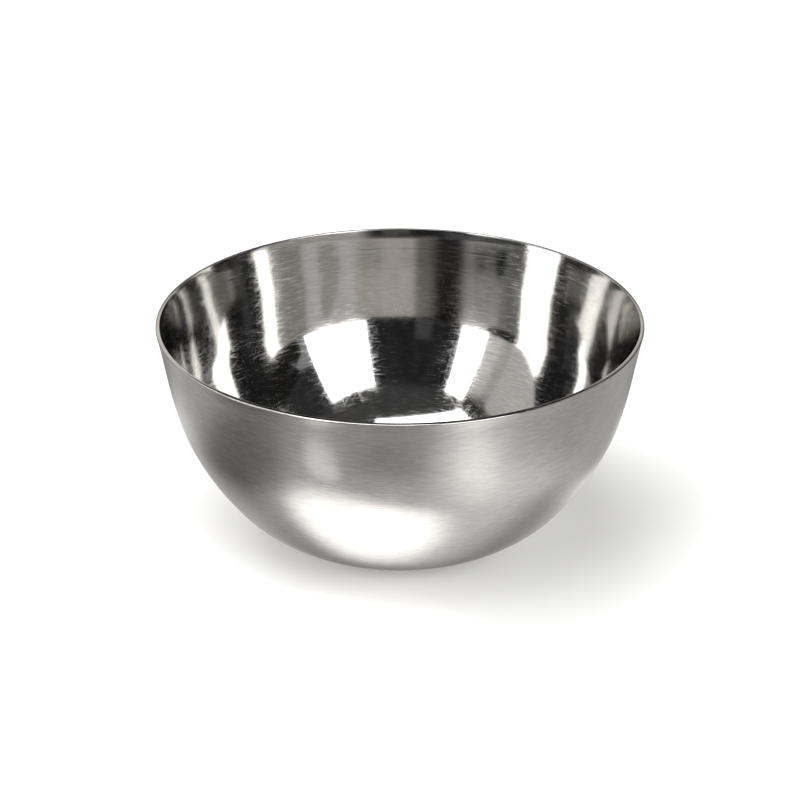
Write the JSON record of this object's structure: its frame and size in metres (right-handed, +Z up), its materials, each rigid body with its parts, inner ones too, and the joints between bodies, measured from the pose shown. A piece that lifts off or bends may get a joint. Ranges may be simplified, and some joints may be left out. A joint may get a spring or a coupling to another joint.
{
  "type": "shaving bowl",
  "caption": "Round open shaving bowl in polished stainless steel sheet, with a faintly flared thin lip, a rounded belly and a small flat foot.",
  "frame": {"origin": "centre of the flat underside, on the surface the bowl stands on", "axes": "+Z up along the axis the bowl was turned about; X and Y are any two level directions, because the bowl is round"},
  "size_m": [0.12, 0.12, 0.0562],
  "materials": {
    "polished_steel": "polished, with fine turning lines and light scratches"
  },
  "bodies": {
    "root": {"bowl": "polished_steel"}
  },
  "joints": []
}
